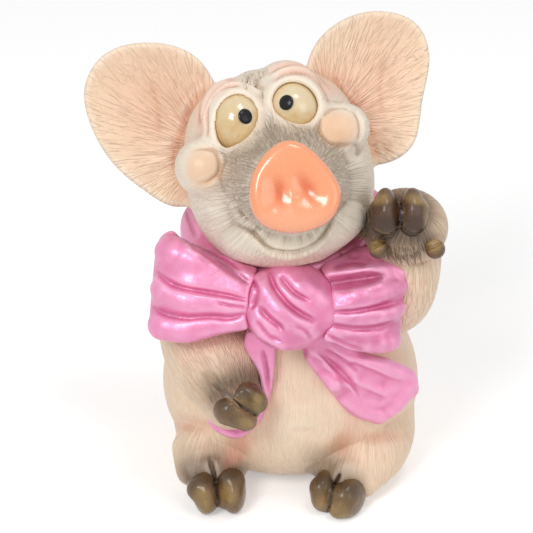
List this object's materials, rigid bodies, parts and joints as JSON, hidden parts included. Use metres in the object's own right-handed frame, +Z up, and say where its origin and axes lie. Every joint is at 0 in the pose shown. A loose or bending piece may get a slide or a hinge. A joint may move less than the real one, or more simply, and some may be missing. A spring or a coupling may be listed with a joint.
{
  "type": "pig figurine",
  "caption": "Seated pig ornament in painted resin that leans its head back, lifts a front foot to wave and wears a wide bow at its neck.",
  "frame": {"origin": "on the floor under the rump, on the underside of the felt pad", "axes": "+Z up, the figure faces -Y, its own left side is +X"},
  "size_m": [0.0698, 0.058, 0.0925],
  "materials": {
    "coat": "hand-painted satin, carved fur",
    "face": "hand-painted satin, fine fur strokes",
    "ear": "hand-painted satin, airbrushed pink",
    "snout": "gloss lacquer over peach",
    "eye": "clear gloss over yellowed ivory",
    "pupil": "gloss black",
    "hoof": "gloss olive brown with golden edges",
    "bow": "pearlescent pink lacquer",
    "felt": "pressed felt"
  },
  "bodies": {
    "root": {"torso": "coat", "base_felt": "felt", "head": "face", "snout": "snout", "right_eyeball": "eye", "left_eyeball": "eye", "right_pupil": "pupil", "left_pupil": "pupil", "right_ear": "ear", "left_ear": "ear", "right_arm": "coat", "left_arm": "coat", "right_arm_claws": "hoof", "left_arm_claws": "hoof", "right_leg": "coat", "left_leg": "coat", "right_leg_claws": "hoof", "left_leg_claws": "hoof", "neck_ribbon": "bow", "bow_knot": "bow", "right_bow_loop": "bow", "left_bow_loop": "bow", "right_bow_tail": "bow", "left_bow_tail": "bow", "curly_tail": "coat"}
  },
  "joints": []
}
